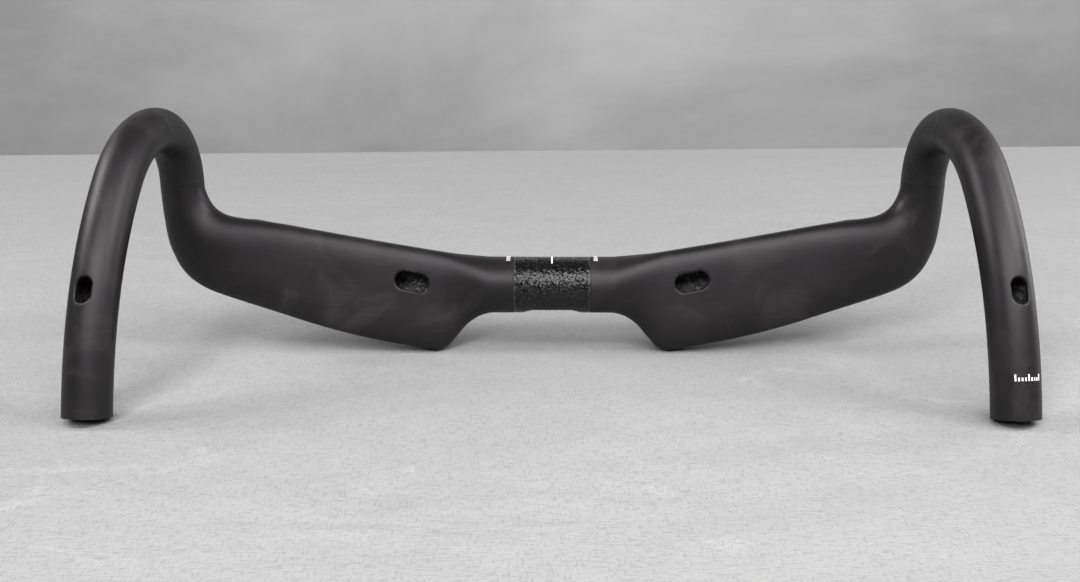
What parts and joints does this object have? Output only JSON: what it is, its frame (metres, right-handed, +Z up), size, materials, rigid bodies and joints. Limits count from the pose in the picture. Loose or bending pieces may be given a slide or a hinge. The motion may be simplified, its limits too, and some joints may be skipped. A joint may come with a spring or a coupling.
{
  "type": "drop handlebar",
  "caption": "Bare carbon drop handlebar with flat aero tops, internal cable ports, gritty clamp bands and open bar ends.",
  "frame": {"origin": "on the surface that the bar lies on, at the middle of its footprint's bounding box; the stem clamp's centre is at (0, 0.0602, 0.0360)", "axes": "+X along the bar's width, +Y away from the undersides of the tops (up on the bicycle), +Z up as it lies (forward on the bicycle)"},
  "size_m": [0.4694, 0.1645, 0.1389],
  "materials": {
    "satin_carbon": "satin black painted carbon laminate",
    "bare_carbon": "unpainted moulded laminate",
    "grip_coating": "gritty assembly coating",
    "white_ink": "printed white ink"
  },
  "bodies": {
    "root": {"tops_shell": "satin_carbon", "left_drop_shell": "satin_carbon", "right_drop_shell": "satin_carbon", "left_joint_spigot": "bare_carbon", "right_joint_spigot": "bare_carbon", "clamp_grip_band": "grip_coating", "left_lever_grip_band": "grip_coating", "right_lever_grip_band": "grip_coating", "clamp_centre_mark": "white_ink", "left_clamp_scale": "white_ink", "right_clamp_scale": "white_ink", "size_mark": "white_ink"}
  },
  "joints": []
}
